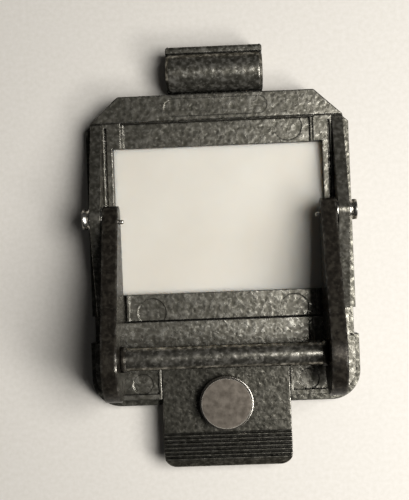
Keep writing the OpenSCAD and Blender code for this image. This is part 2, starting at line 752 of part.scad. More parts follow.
// An arm's side view: a small round end at the pivot and a large one round the bar
module arm_plate() {
    reach = [-bar_y, bar_h - pivot_h];
    along = atan2(reach[1], reach[0]);
    spread = acos((arm_tip_r - arm_end_r) / norm(reach));
    function rim(turn) = [cos(along + turn * spread), sin(along + turn * spread)];
    tip = arm_tip_r - web_in;
    end = arm_end_r - web_in;
    cylinder(r = arm_tip_r, h = arm_t);
    translate(reach) cylinder(r = arm_end_r, h = arm_t);
    linear_extrude(arm_t) polygon([tip * rim(1), reach + end * rim(1), reach + end * rim(-1), tip * rim(-1)]);
}

module bail_arm() {
    difference() {
        translate([arm_inner_x, 0, pivot_z]) rotate([90, 0, 90]) arm_plate();
        rod_x(arm_x - pivot_seat_l, 0, pivot_z, pivot_bush_d + 2 * seat_fit, arm_t);
        rod_x(arm_inner_x - cut, -nub_y, pivot_z, nub_d + 2 * seat_fit, arm_blind_wall + 2 * cut);
        rod_x(arm_inner_x - cut, -bar_y, bar_z, bar_journal_d + 2 * seat_fit, arm_t + 2 * cut);
        rod_x(arm_x - bar_screw_head_l, -bar_y, bar_z, bar_screw_head_d + 2 * seat_fit, arm_t);
    }
}

module right_arm() { color("#2b2823") at_origin() bail_arm(); }
module left_arm() { color("#2b2823") at_origin() mirror([1, 0, 0]) bail_arm(); }

module arm_nubs() {
    color("silver") at_origin() both_sides()
        rod_x(arm_inner_x - nub_l, -nub_y, pivot_z, nub_d, nub_l + arm_blind_wall);
}

module cross_bar() {
    journal_end_x = arm_x - bar_screw_head_l;
    color("#3d3b36") at_origin() difference() {
        union() {
            rod_x(-arm_inner_x, -bar_y, bar_z, bar_d, 2 * arm_inner_x);
            rod_x(-journal_end_x, -bar_y, bar_z, bar_journal_d, 2 * journal_end_x);
        }
        both_sides() rod_x(
            journal_end_x - bar_screw_l - cut, -bar_y, bar_z,
            small_screw_d + 2 * seat_fit, bar_screw_l + 2 * cut
        );
    }
}

module bar_collars() {
    color("#55524a") at_origin() both_sides() difference() {
        rod_x(arm_inner_x - collar_l, -bar_y, bar_z, collar_d, collar_l);
        rod_x(0, -bar_y, bar_z, bar_d + 2 * seat_fit, arm_x);
    }
}

module bar_screws() {
    journal_end_x = arm_x - bar_screw_head_l;
    color("silver") at_origin() both_sides() {
        rod_x(journal_end_x - bar_screw_l, -bar_y, bar_z, small_screw_d, bar_screw_l + cut / 2);
        difference() {
            rod_x(journal_end_x, -bar_y, bar_z, bar_screw_head_d, bar_screw_head_l);
            driver_slot(arm_x, -bar_y, bar_z, bar_screw_head_d);
        }
    }
}

// ---- the slide rest and its clamp ----

module slide_rest() {
    slot_l = rest_travel;
    play_d = stud_d + 2 * swing_gap;
    grip_end_y = tab_end_y - tab_bevel - grip_w;
    color("#45433d") at_origin() difference() {
        union() {
            block([-ledge_w / 2, -ledge_end_y, rest_z], [ledge_w / 2, -ledge_top_y, ledge_z]);
            translate([0, 0, rest_z]) linear_extrude(tab_z - rest_z)
                rounded_area(tab_w, -tab_end_y, -ledge_end_y + tab_corner_r + cut, tab_corner_r);
        }
        // above the tab, the ledge's own height stays
        block([-tab_w, -ledge_end_y, ledge_z], [tab_w, -ledge_top_y + cut, tab_z + cut]);
        block(
            [ledge_groove_x - ledge_groove_w / 2, -ledge_end_y - cut, ledge_z - ledge_groove_depth],
            [ledge_groove_x + ledge_groove_w / 2, -ledge_top_y + cut, ledge_z + cut]
        );
        for (i = [0 : grip_count - 1]) {
            groove_y = -(grip_end_y - i * grip_pitch);
            block([-tab_w, groove_y, tab_z - grip_depth], [tab_w, groove_y + grip_w, tab_z + cut]);
        }
        // the bevel at the tab's end
        translate([-tab_w, -tab_end_y, 0]) rotate([90, 0, 90]) linear_extrude(2 * tab_w) polygon([
            [-cut, rest_z + tab_edge_t - cut * (tab_z - rest_z - tab_edge_t) / tab_bevel],
            [tab_bevel, tab_z], [tab_bevel, tab_z + cut], [-cut, tab_z + cut]
        ]);
        // the slot that the clamp screw passes through
        block([-play_d / 2, -clamp_y, 0], [play_d / 2, -clamp_y + slot_l, 2 * face_z]);
        for (y = [0, slot_l]) translate([0, -clamp_y + y, 0]) cylinder(d = play_d, h = 2 * face_z);
    }
}

module clamp_bush() {
    color("goldenrod") at_origin() difference() {
        translate([0, -clamp_y, bush_z]) cylinder(d = bush_d, h = bed_z - bush_z);
        translate([0, -clamp_y, 0]) cylinder(d = stud_d + 2 * run_fit, h = 2 * face_z);
    }
}

module clamp_screw() {
    color("silver") at_origin() translate([0, -clamp_y, stud_low_z])
        cylinder(d = stud_d, h = knob_z + knob_h - knob_crown - stud_low_z);
}

module clamp_knob() {
    color("#8b857c") at_origin() translate([0, -clamp_y, knob_z]) difference() {
        rotate_extrude($fn = 96) polygon([
            [0, 0], [knob_d / 2 - knob_chamfer, 0], [knob_d / 2, knob_chamfer],
            [knob_d / 2, knob_h - knob_chamfer], [knob_d / 2 - knob_chamfer, knob_h], [0, knob_h]
        ]);
        translate([0, 0, -cut]) cylinder(d = stud_d + 2 * seat_fit, h = knob_h - knob_crown + cut);
    }
}

module knob_washer() {
    color("gainsboro") at_origin() translate([0, -clamp_y, washer_z]) difference() {
        cylinder(d = washer_d, h = washer_t);
        translate([0, 0, -cut]) cylinder(d = stud_d + 2 * seat_fit, h = washer_t + 2 * cut);
    }
}

module camera_bush() {
    color("goldenrod") at_origin() difference() {
        translate([0, -camera_y, 0]) cylinder(d = camera_bush_d, h = camera_thread_l);
        translate([0, -camera_y, -cut]) cylinder(d = camera_thread_d, h = camera_thread_l + 2 * cut);
    }
}

stage_frame();
rear_shell();
name_plate();
name_plate_screws();
case_screws();
opal_window();
diffuser_retainer();
diffuser_screws();
left_cheek();
right_cheek();
cheek_screws();
barrel_block();
barrel_screws();
left_pivot_pin();
right_pivot_pin();
pivot_washers();
pivot_bushes();
left_arm();
right_arm();
arm_nubs();
cross_bar();
bar_collars();
bar_screws();
slide_rest();
clamp_bush();
clamp_screw();
clamp_knob();
knob_washer();
camera_bush();
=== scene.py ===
# %% [markdown]
# A slide duplicator stage lies on its back on a pale table. The imported CAD model already holds every piece at
# its real size and place, so this lesson dresses that frame: it rounds the edges of the castings, turns the knob's
# knurl, the pins' grooves and the bush's thread, and gives each piece the finish of its real material. The frame
# is loaded first, and its plain pieces stay in the scene, hidden, to give their sizes to the new ones. The dressed
# model may not outgrow it.

# %% Load the frame
import json
import math

import bmesh
import bpy
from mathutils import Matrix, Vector


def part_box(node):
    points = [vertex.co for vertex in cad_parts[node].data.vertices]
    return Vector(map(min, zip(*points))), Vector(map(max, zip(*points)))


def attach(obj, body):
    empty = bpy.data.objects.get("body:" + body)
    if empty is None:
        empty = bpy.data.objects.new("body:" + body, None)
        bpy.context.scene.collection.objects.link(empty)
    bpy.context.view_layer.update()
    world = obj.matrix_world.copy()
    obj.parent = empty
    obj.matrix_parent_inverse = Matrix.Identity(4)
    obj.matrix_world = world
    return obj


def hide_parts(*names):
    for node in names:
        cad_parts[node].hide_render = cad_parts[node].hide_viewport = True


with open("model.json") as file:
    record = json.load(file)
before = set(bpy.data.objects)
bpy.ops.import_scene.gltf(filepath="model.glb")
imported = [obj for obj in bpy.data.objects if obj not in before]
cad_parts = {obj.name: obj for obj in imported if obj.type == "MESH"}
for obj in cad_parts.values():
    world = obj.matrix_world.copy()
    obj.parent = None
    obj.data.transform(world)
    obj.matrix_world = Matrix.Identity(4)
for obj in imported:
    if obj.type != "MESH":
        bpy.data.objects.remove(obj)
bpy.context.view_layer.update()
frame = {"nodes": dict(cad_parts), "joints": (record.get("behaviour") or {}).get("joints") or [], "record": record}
MM = 0.001

# %% [markdown]
# The places that several pieces share come from the frame: the bail's pivot axis and the clamp
# screw's axis are the joints' own axes, so nothing has to be measured twice.

# %% Shared places
joints = {joint["name"]: joint for joint in frame["joints"]}
pivot = Vector(joints["bail_swing"]["pos_m"])
clamp_axis = Vector(joints["clamp_turn"]["pos_m"])
print("pivot in mm:", [round(v / MM, 2) for v in pivot])
print("clamp axis in mm:", [round(v / MM, 2) for v in clamp_axis])

# %% [markdown]
# The camera looks almost straight down from a little over a quarter of a metre. It stands a little to
# the lower right of the middle and is turned by two degrees, so the stage leans to the left in the
# view. Its place and its three small turns are named values, and the lens is given for a 36 mm
# sensor. Depth of field stays off, because the whole stage is sharp.

# %% Camera
CAMERA_PLACE_MM = (3.25, -2.06, 281.1)
CAMERA_TURN_DEG = (0.734, 1.654, -2.206)
LENS_MM = 72

camera_data = bpy.data.cameras.new("camera")
camera_data.lens = LENS_MM
camera_data.clip_start = 0.01
camera = bpy.data.objects.new("camera", camera_data)
camera.location = Vector(CAMERA_PLACE_MM) * MM
camera.rotation_euler = [math.radians(angle) for angle in CAMERA_TURN_DEG]
bpy.context.scene.collection.objects.link(camera)
bpy.context.scene.camera = camera
bpy.context.scene.view_settings.view_transform = "Standard"
print("camera", CAMERA_PLACE_MM[2], "mm above the table, lens", LENS_MM, "mm")

# %% [markdown]
# Colours are written as sRGB hex values, which is how a paint chart or a screen shows them. The
# shader works in linear light, so one function turns each value to linear.

# %% Colours
def linear(hex_colour):
    """An sRGB hex value such as "#3a3731" as linear red, green, blue and alpha."""
    channels = [int(hex_colour[i:i + 2], 16) / 255 for i in (1, 3, 5)]
    turned = [c / 12.92 if c <= 0.04045 else ((c + 0.055) / 1.055) ** 2.4 for c in channels]
    return (*turned, 1.0)


def grey(value):
    """A plain number as the colour that a ramp stop needs."""
    return (value, value, value, 1.0)


print("mid grey #808080 is", round(linear("#808080")[0], 3), "in linear light")

# %% [markdown]
# A procedural material is a tree of nodes, and most lines of such a script would only make nodes and
# join sockets. One small function does both, which keeps the recipes below short. Patterns read the
# piece's Object coordinates. They are in metres, so a pattern's scale is one over its real size.

# %% Nodes
def add(tree, kind, inputs=None, **settings):
    """Adds a node of that kind. inputs maps a socket's name or number to a value or to an output."""
    made = tree.nodes.new(kind)
    for name, value in settings.items():
        setattr(made, name, value)
    for name, value in (inputs or {}).items():
        if isinstance(value, bpy.types.NodeSocket):
            tree.links.new(value, made.inputs[name])
        else:
            made.inputs[name].default_value = value
    return made


def start_material(name, **shader_values):
    """A new material: its node tree, its shader and the piece's own coordinates in metres."""
    material = bpy.data.materials.new(name)
    material.use_nodes = True
    tree = material.node_tree
    shader = tree.nodes["Principled BSDF"]
    for socket, value in shader_values.items():
        shader.inputs[socket.replace("_", " ")].default_value = value
    place = add(tree, "ShaderNodeTexCoord").outputs["Object"]
    return material, tree, shader, place


def pattern_scale(size_mm):
    """The Scale of a pattern whose features are size_mm wide on the real piece."""
    return 1 / (size_mm * MM)


print("a 1.3 mm pattern has scale", round(pattern_scale(1.3)))

# %% [markdown]
# Two steps come back in every recipe: a ramp, which turns a pattern's number into a colour or a
# roughness, and a mix towards another colour where a mask says so.

# %% Ramps and mixes
def ramp(tree, factor, stops):
    """A colour ramp fed by factor. stops is a list of (position, linear colour)."""
    made = add(tree, "ShaderNodeValToRGB", {"Fac": factor})
    elements = made.color_ramp.elements
    while len(elements) < len(stops):
        elements.new(0.5)
    for element, (position, colour) in zip(elements, stops):
        element.position = position
        element.color = colour
    return made.outputs["Color"]


def shift(tree, colour, factor, target):
    """Mixes a colour towards target as factor goes from 0 to 1."""
    mix = add(
        tree, "ShaderNodeMix", {"Factor": factor, "A": colour, "B": linear(target)}, data_type="RGBA",
    )
    return mix.outputs["Result"]


print("helpers ready: add, start_material, pattern_scale, ramp, shift")

# %% [markdown]
# Handling rubs the paint thin on edges first, and it draws thin there when it is sprayed. The shader
# knows an edge in two ways. The roundings cut further down mark their faces with a face attribute
# called edge_wear. A Bevel node turns the normals near every sharp edge, as a soft rounding would,
# and where its normal differs from the face's own there is an edge too. That catches the light on
# steps that are too tight for a real rounding. A noise then breaks the mark into patches, because
# wear is never even.

# %% Worn edges
WEAR_PATCH_MM = 1.6
SOFT_EDGE_MM = 0.35
EDGE_GLOSS = 0.5


def edge_wear(tree, place, soft_mm=SOFT_EDGE_MM):
    """How far the paint is worn, the plain mark of an edge, and the normal with soft edges."""
    face = add(tree, "ShaderNodeAttribute", attribute_name="edge_wear", attribute_type="GEOMETRY")
    soft = add(tree, "ShaderNodeBevel", {"Radius": soft_mm * MM}, samples=6)
    flat = add(tree, "ShaderNodeNewGeometry")
    turned = add(
        tree, "ShaderNodeVectorMath", {0: soft.outputs["Normal"], 1: flat.outputs["Normal"]},
        operation="DOT_PRODUCT",
    )
    near = ramp(tree, turned.outputs["Value"], [(0.9, grey(1.0)), (0.99, grey(0.0))])
    mark = add(tree, "ShaderNodeMath", {0: face.outputs["Fac"], 1: near}, operation="MAXIMUM")
    patches = add(
        tree, "ShaderNodeTexNoise",
        {"Vector": place, "Scale": pattern_scale(WEAR_PATCH_MM), "Detail": 3.0},
    )
    broken = ramp(tree, patches.outputs["Fac"], [(0.48, grey(0.05)), (0.66, grey(0.7))])
    worn = add(tree, "ShaderNodeMath", {0: mark.outputs[0], 1: broken}, operation="MULTIPLY")
    return worn.outputs[0], mark.outputs[0], soft.outputs["Normal"]


def smoother(tree, roughness, edge):
    """Lowers a roughness on the rounded edges, where the enamel draws thin and hands polish it."""
    kept = add(tree, "ShaderNodeMath", {0: edge, 1: EDGE_GLOSS - 1, 2: 1.0}, operation="MULTIPLY_ADD")
    made = add(tree, "ShaderNodeMath", {0: roughness, 1: kept.outputs[0]}, operation="MULTIPLY")
    return made.outputs[0]


print("edges: wear in", WEAR_PATCH_MM, "mm patches, roughness times", EDGE_GLOSS)

# %% [markdown]
# Seams and grooves get painted shade. An Ambient Occlusion node measures how far nearby walls shut a point in, and
# its ramp multiplies the paint's colour, so the shade that falls there is painted into the colour.

# %% Painted shade in seams
SHADE_REACH_MM = 0.8
SHADE_TONE = 0.06


def painted_seam_shade(tree, colour, darkest, reach_mm):
    """Paints shade into a colour in seams and grooves, as far as walls within reach shut it in."""
    shut_in = add(tree, "ShaderNodeAmbientOcclusion", {"Distance": reach_mm * MM}, samples=8)
    shade = ramp(tree, shut_in.outputs["AO"], [(0.35, grey(darkest)), (0.8, grey(1.0))])
    mix = add(
        tree, "ShaderNodeMix", {"Factor": 1.0, "A": colour, "B": shade},
        data_type="RGBA", blend_type="MULTIPLY",
    )
    return mix.outputs["Result"]


print("seams: walls within", SHADE_REACH_MM, "mm darken the paint to", SHADE_TONE)

# %% [markdown]
# The castings are zinc or aluminium, sprayed with hammertone enamel. Aluminium flake and silicone in
# the wet enamel draw it into dimples a little over a millimetre across, like beaten metal. Smooth
# Voronoi cells give the dimples and a noise gives the uneven skin between them. Together they make
# one height, which bumps the surface and also tints it.

# %% Dimples of the hammertone enamel
DIMPLE_MM = 1.3
SKIN_MM = 1.1 * DIMPLE_MM
CELL_SHARE = 0.6


def dimples(tree, place):
    """The noise of the enamel's skin, and the height that its dimples and skin make together."""
    skin = add(
        tree, "ShaderNodeTexNoise",
        {"Vector": place, "Scale": pattern_scale(SKIN_MM), "Detail": 2.0, "Distortion": 0.4},
    )
    cells = add(
        tree, "ShaderNodeTexVoronoi",
        {"Vector": place, "Scale": pattern_scale(DIMPLE_MM), "Smoothness": 1.0}, feature="SMOOTH_F1",
    )
    height = add(
        tree, "ShaderNodeMath",
        {0: cells.outputs["Distance"], 1: CELL_SHARE, 2: skin.outputs["Fac"]},
        operation="MULTIPLY_ADD",
    )
    return skin.outputs["Fac"], height.outputs[0]


print("dimples", DIMPLE_MM, "mm wide, skin", round(SKIN_MM, 2), "mm")

# %% [markdown]
# The flake lies just under a dark clear skin, so the enamel is dark from most sides and shines
# broadly, like a dull metal, towards the lamp. So the shader is mostly metallic with a dark base and
# a wide gloss, and sparse patches of leafing flake are paler. Worn edges show the paler metal below,
# and the dimples are rubbed nearly flat there.

# %% Hammertone enamel
FLAKE_MM = 0.85
RUBBED_FLAT = 0.75


def hammertone(
    name, dark, middle, pale, worn_tone, roughness, relief_mm, metallic=0.8,
    soft_mm=SOFT_EDGE_MM, shade_reach_mm=SHADE_REACH_MM, shade_tone=SHADE_TONE, grazing=0.35,
):
    """Hammertone enamel. grazing is how much of the sheen is left at a glancing angle."""
    material, tree, shader, place = start_material(name, IOR=1.5, Specular_Tint=grey(grazing))
    skin, height = dimples(tree, place)
    colour = ramp(tree, height, [(0.55, linear(dark)), (0.8, linear(middle)), (1.05, linear(pale))])
    flakes = add(
        tree, "ShaderNodeTexNoise", {"Vector": place, "Scale": pattern_scale(FLAKE_MM), "Detail": 1.0},
    )
    leafing = ramp(tree, flakes.outputs["Fac"], [(0.54, grey(0.0)), (0.8, grey(1.0))])
    worn, edge, soft_normal = edge_wear(tree, place, soft_mm)
    colour = shift(tree, shift(tree, colour, leafing, pale), worn, worn_tone)
    # The colour gets painted shade in seams and grooves from the ambient occlusion.
    tree.links.new(painted_seam_shade(tree, colour, shade_tone, shade_reach_mm), shader.inputs["Base Color"])

    metal = add(tree, "ShaderNodeMath", {0: worn, 1: 1 - metallic, 2: metallic}, operation="MULTIPLY_ADD")
    tree.links.new(metal.outputs[0], shader.inputs["Metallic"])
    gloss = ramp(tree, skin, [(0.35, grey(roughness + 0.08)), (0.65, grey(roughness - 0.06))])
    tree.links.new(smoother(tree, gloss, edge), shader.inputs["Roughness"])

    rubbed = add(tree, "ShaderNodeMath", {0: edge, 1: -RUBBED_FLAT, 2: 1.0}, operation="MULTIPLY_ADD")
    bump = add(tree, "ShaderNodeBump", {
        "Height": height, "Distance": relief_mm * MM, "Strength": rubbed.outputs[0],
        "Normal": soft_normal,
    })
    tree.links.new(bump.outputs["Normal"], shader.inputs["Normal"])
    return material


print("hammertone: flake patches", FLAKE_MM, "mm, relief on edges down by", RUBBED_FLAT)

# %% [markdown]
# The castings wear one hammertone enamel in four greys. The stage frame and the ledge of the slide rest are the
# palest, and the ledge is paler still, a painted sheen; the shell and the tab are darker, a painted shade. They
# are lit and shaded copies of the one enamel.

# %% Enamel of the castings
casting_enamel = hammertone(
    "hammertone_enamel", dark="#4a4840", middle="#625f57", pale="#8c8980", worn_tone="#d2cec6",
    roughness=0.3, relief_mm=0.065,
)
shell_enamel_painted_shade = hammertone(
    "hammertone_shell_painted_shade", dark="#3b3933", middle="#4d4b44", pale="#76736a", worn_tone="#c4c0b8",
    roughness=0.31, relief_mm=0.085,
)
ledge_enamel_painted_sheen = hammertone(
    "hammertone_ledge_painted_sheen", dark="#535048", middle="#716e65", pale="#a3a097", worn_tone="#d2cec6",
    roughness=0.3, relief_mm=0.07,
)
tab_enamel_painted_shade = hammertone(
    "hammertone_tab_painted_shade", dark="#37352f", middle="#4a4841", pale="#6b6860", worn_tone="#bdb9b0",
    roughness=0.31, relief_mm=0.085,
)
print("made", casting_enamel.name, shell_enamel_painted_shade.name, ledge_enamel_painted_sheen.name, tab_enamel_painted_shade.name)

# %% [markdown]
# The barrel block and the bail's bar are round, so they meet the eye at a glancing angle along both sides. Their
# sheen is held back a little there, because the middle should shine in a soft line and the sides stay dark. The
# painted shade in the block's seams is kept light, because at full strength it turns the lip black. On the bar the
# painted shade reaches a few millimetres, as far as the bar hangs over the ledge and the tab, and the bar has no
# edges to soften.

# %% Enamel of the barrel block and the bar
barrel_enamel = hammertone(
    "hammertone_barrel", dark="#46443d", middle="#67645c", pale="#a3a097", worn_tone="#c4c0b8",
    roughness=0.29, relief_mm=0.06, soft_mm=0.5, shade_tone=0.6, grazing=0.0,
)
bar_enamel = hammertone(
    "hammertone_bar", dark="#4a4842", middle="#6b6860", pale="#a5a198", worn_tone="#c4c0b8",
    roughness=0.3, relief_mm=0.045, metallic=0.85, soft_mm=0.0, shade_reach_mm=4.0, grazing=0.0,
)
print("made", barrel_enamel.name, bar_enamel.name)

# %% [markdown]
# The bail's arms wear the same kind of enamel with far less flake, almost black with a brown cast,
# and hands have polished it. The real edges are well rounded. The roundings cut further down stay
# smaller than that, so a Bevel node of the real radius shades the rest, and it gives each arm the
# thin bright line that runs down its edge.

# %% Dark enamel of the arms
arm_enamel = hammertone(
    "hammertone_arms", dark="#1e1b17", middle="#2c2823", pale="#403c35", worn_tone="#a39f97",
    roughness=0.3, relief_mm=0.045, metallic=0.5, soft_mm=1.1,
)
print("made", arm_enamel.name)

# %% [markdown]
# Pins, washers and screws are turned steel with bright nickel plating, bushes are turned brass, and
# the frame that holds the window from behind is aluminium, anodised black. A tool leaves a fine
# grain, and the plating dulls in small patches where it was touched. Real tool marks are some
# hundredths of a millimetre apart, too fine to show, so the grain here is drawn a quarter of a
# millimetre wide. The knob's satin grey plating has more of it, and its turned breaks are bright.

# %% Turned metals
GRAIN_MM = 0.25
TARNISH_MM = 1.8


def turned_metal(name, dull, bright, roughness, grain_height_mm=0.004, edge_tone=None):
    """Turned metal with a fine grain, and with bright edges where an edge tone is given."""
    material, tree, shader, place = start_material(name, Metallic=1.0)
    grain = add(
        tree, "ShaderNodeTexNoise", {"Vector": place, "Scale": pattern_scale(GRAIN_MM), "Detail": 3.0},
    )
    stain = add(
        tree, "ShaderNodeTexNoise", {"Vector": place, "Scale": pattern_scale(TARNISH_MM), "Detail": 4.0},
    )
    colour = ramp(tree, stain.outputs["Fac"], [(0.35, linear(dull)), (0.65, linear(bright))])
    gloss = ramp(tree, grain.outputs["Fac"], [(0.3, grey(roughness)), (0.7, grey(roughness + 0.12))])
    if edge_tone:
        edge = edge_wear(tree, place)[1]
        colour = shift(tree, colour, edge, edge_tone)
        gloss = smoother(tree, gloss, edge)
    tree.links.new(colour, shader.inputs["Base Color"])
    tree.links.new(gloss, shader.inputs["Roughness"])
    bump = add(
        tree, "ShaderNodeBump", {"Height": grain.outputs["Fac"], "Distance": grain_height_mm * MM},
    )
    tree.links.new(bump.outputs["Normal"], shader.inputs["Normal"])
    return material


bright_steel = turned_metal("nickel_plated_steel", "#b5b0a8", "#d9d5cd", roughness=0.2)
brass = turned_metal("turned_brass", "#b3904f", "#cfae6a", roughness=0.25)
black_anodised = turned_metal("black_anodised_aluminium", "#1b1b1b", "#262626", roughness=0.4)
satin_knob = turned_metal(
    "satin_grey_plating", "#514b44", "#6a635b", roughness=0.42, grain_height_mm=0.014,
    edge_tone="#c9c5bd",
)
print("made", bright_steel.name, brass.name, black_anodised.name, satin_knob.name)

# %% [markdown]
# The window is opal acrylic: white pigment in clear plastic, so light scatters under a polished
# skin. Subsurface scattering gives the soft depth, and a faint cloudiness keeps the wide white field
# from looking like paper.

# %% Opal acrylic
CLOUD_MM = 22


def opal_acrylic():
    """Opal acrylic sheet: white light from below a polished skin."""
    material, tree, shader, place = start_material(
        "opal_acrylic", IOR=1.49, Subsurface_Weight=1.0, Subsurface_Scale=0.004, Roughness=0.12,
    )
    shader.inputs["Subsurface Radius"].default_value = (1.0, 0.9, 0.8)
    cloud = add(
        tree, "ShaderNodeTexNoise", {"Vector": place, "Scale": pattern_scale(CLOUD_MM), "Detail": 3.0},
    )
    colour = ramp(tree, cloud.outputs["Fac"], [(0.3, linear("#ded7cc")), (0.7, linear("#e6e0d6"))])
    tree.links.new(colour, shader.inputs["Base Color"])
    return material


opal = opal_acrylic()
print("made", opal.name)

# %% [markdown]
# Every node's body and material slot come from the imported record, so a piece can't ride on the
# wrong body. The slot gives the usual finish, and a piece may ask for its own kind of enamel.

# %% Body, slot and finish of each node
slot_of = {row["node"]: row["material_slot"] for row in frame["record"]["subparts"]}
body_of = {
    node: body for body, nodes in frame["record"]["behaviour"]["bodies"].items() for node in nodes
}
finish_of = {
    "hammer_enamel": casting_enamel, "arm_enamel": arm_enamel, "bar_enamel": bar_enamel,
    "bright_steel": bright_steel, "satin_knob": satin_knob, "brass": brass,
    "opal_acrylic": opal, "black_anodised": black_anodised,
}
for node, slot in slot_of.items():
    mesh = frame["nodes"][node].data
    mesh.materials.clear()
    mesh.materials.append(finish_of[slot])
print(len(body_of), "nodes on", len(set(body_of.values())), "bodies,", len(finish_of), "finishes")

# %% [markdown]
# The frame's pieces are exact but sharp, and each is a shell of loose triangles. A copy is merged
# back to whole faces before anything is cut or rounded, because a bevel needs to know which faces
# meet at an edge. The frame's own mesh is left alone.

# %% Whole faces from loose triangles
LOOSE_MM = 0.02
FLAT_DEG = 0.4


def merged(node):
    """A bmesh of a frame's node, with its loose triangles merged to whole faces."""
    bm = bmesh.new()
    bm.from_mesh(frame["nodes"][node].data)
    bmesh.ops.remove_doubles(bm, verts=bm.verts[:], dist=LOOSE_MM * MM)
    bmesh.ops.dissolve_limit(
        bm, angle_limit=math.radians(FLAT_DEG), verts=bm.verts[:], edges=bm.edges[:],
        delimit={"NORMAL"},
    )
    return bm


trial = merged("name_plate")
print("name plate:", len(trial.faces), "whole faces")
trial.free()

# %% [markdown]
# A finished bmesh becomes an object at the origin with its place in its mesh, as the frame's own
# nodes have. A weighted-normal modifier keeps the large faces flat beside their small roundings.
# The piece is parented to its body's empty, and the node that it stands in for is hidden.

# %% Object of a finished piece
SMOOTH_DEG = 34


def finished(bm, name, node, material):
    """Makes the object from a bmesh, puts it on its body and hides the node that it stands in for."""
    mesh = bpy.data.meshes.new(name)
    bm.to_mesh(mesh)
    bm.free()
    mesh.shade_smooth()
    mesh.set_sharp_from_angle(angle=math.radians(SMOOTH_DEG))
    mesh.materials.append(material)
    piece = bpy.data.objects.new(name, mesh)
    bpy.context.scene.collection.objects.link(piece)
    flat = piece.modifiers.new("flat_large_faces", "WEIGHTED_NORMAL")
    flat.keep_sharp = True
    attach(piece, body_of[node])
    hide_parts(node)
    return piece


print("faces that meet at less than", SMOOTH_DEG, "degrees are shaded as one")

# %% [markdown]
# A bevel can only be as wide as the faces beside it allow. For each edge the room is the shortest
# way across its two faces to another outline of theirs, measured both from the edge's middle and
# from the other outline's corners.

# %% Room beside an edge
PLENTY_M = 1.0
END_SHARE = 0.02


def across(point, start, end):
    """How far a point lies from a stretch of edge, or None where it lies beside its ends."""
    along = end - start
    share = (point - start).dot(along) / along.length_squared
    beside = END_SHARE < share < 1 - END_SHARE
    return (point - start - share * along).length if beside else None


def room_beside(edge):
    """How far the nearest other outline of an edge's two faces is, measured across the edge."""
    start, end = (vert.co for vert in edge.verts)
    middle = (start + end) / 2
    reaches = [PLENTY_M]
    for face in edge.link_faces:
        for other in face.edges:
            if other == edge or other.verts[0] in edge.verts or other.verts[1] in edge.verts:
                continue
            reaches.append(across(middle, other.verts[0].co, other.verts[1].co))
            reaches.append(across(other.verts[0].co, start, end))
    return min(reach for reach in reaches if reach is not None)


middle_of_ten = across(Vector((5, 3, 0)), Vector((0, 0, 0)), Vector((10, 0, 0)))
print("a point 3 beside a stretch of 10 is", middle_of_ten, "across from it")

# %% [markdown]
# A cast or turned piece has no knife edges. Only edges where two faces meet at a clear angle are
# rounded, which leaves the facets of round stretches alone. Blender's own clamp holds every rounding
# of a piece to its tightest place, often a few hundredths of a millimetre. It is safe on intricate
# castings, and the Bevel node in the enamel makes up for it there. On plain pieces it is switched
# off, and each edge gets the radius that it has room for.

# %% Rounded edges
FACET_DEG = 24
ROOM_SHARE = 0.45
FULL, THIRD, SHARP = 1, 2, 0


def bevel_edges(bm, radius_mm, segments=3, full=False):
    """Rounds the real edges, and marks the new faces as the ones that wear.

    With full, an edge with room beside it gets the whole radius, and a narrow step a third of it.
    """
    wear = bm.faces.layers.float.new("edge_wear")
    group = bm.edges.layers.int.new("rounding")
    sizes = {FULL: radius_mm * MM, THIRD: radius_mm * MM / 3}
    for edge in bm.edges:
        if edge.is_manifold and edge.calc_face_angle(0) > math.radians(FACET_DEG):
            room = ROOM_SHARE * room_beside(edge) if full else PLENTY_M
            edge[group] = FULL if room >= sizes[FULL] else THIRD if room >= sizes[THIRD] else SHARP
    for number, size in sizes.items():
        edges = [edge for edge in bm.edges if edge[group] == number and edge.is_manifold]
        if not edges:
            continue
        made = bmesh.ops.bevel(
            bm, geom=edges, offset=size, segments=segments, profile=0.5,
            affect="EDGES", clamp_overlap=not full, material=-1,
        )
        for face in made["faces"]:
            face[wear] = 1.0
            for edge in face.edges:
                edge[group] = SHARP


print("edges over", FACET_DEG, "degrees are rounded, within", ROOM_SHARE, "of the room beside them")

# %% [markdown]
# The barrel block ends in a lip whose upper far edge is clearly rounder than the rest. So that edge
# is rounded on its own first, and the common rounding follows.

# %% Rounded copy of a node
LIP_SEGMENTS = 5


def round_far_lip(bm, radius_mm):
    """Rounds the upper edge of the face that looks furthest along Y."""
    far = max(vert.co.y for vert in bm.verts) - LOOSE_MM * MM
    half_way = (max(vert.co.z for vert in bm.verts) + min(vert.co.z for vert in bm.verts)) / 2
    edges = [
        edge for edge in bm.edges
        if all(vert.co.y > far and vert.co.z > half_way for vert in edge.verts)
        and edge.calc_face_angle(0) > math.radians(FACET_DEG)
    ]
    bmesh.ops.bevel(
        bm, geom=edges, offset=radius_mm * MM, segments=LIP_SEGMENTS, profile=0.5, affect="EDGES",
        clamp_overlap=False, material=-1,
    )


def rounded(node, name, radius_mm, segments=3, material=None, full=False, lip_mm=0):
    """A copy of a frame's node with rounded edges, in its slot's finish or in the given one."""
    bm = merged(node)
    if lip_mm:
        round_far_lip(bm, lip_mm)
    bevel_edges(bm, radius_mm, segments, full)
    piece = finished(bm, name, node, material or finish_of[slot_of[node]])
    print(f"{name}: {len(piece.data.polygons)} faces, edges rounded up to {radius_mm} mm")
    return piece


# %% [markdown]
# The castings come first: the stage frame with its recess, the rear shell, the name plate with its
# bare label place and the barrel block at the head. The shell and the barrel block are handled, so
# their roundings are wide, and the steps that guide the slide stay crisp.

# %% Frame, shell, name plate and barrel block
rounded("stage_frame", "stage_frame_casting", 0.28)
# The shell wears the darker grey, a painted shade.
rounded("rear_shell", "rear_shell_casting", 0.8, segments=4, material=shell_enamel_painted_shade)
rounded("name_plate", "name_plate_casting", 0.3, full=True)
rounded("barrel_block", "barrel_block_casting", 0.6, segments=5, lip_mm=0.8, material=barrel_enamel)
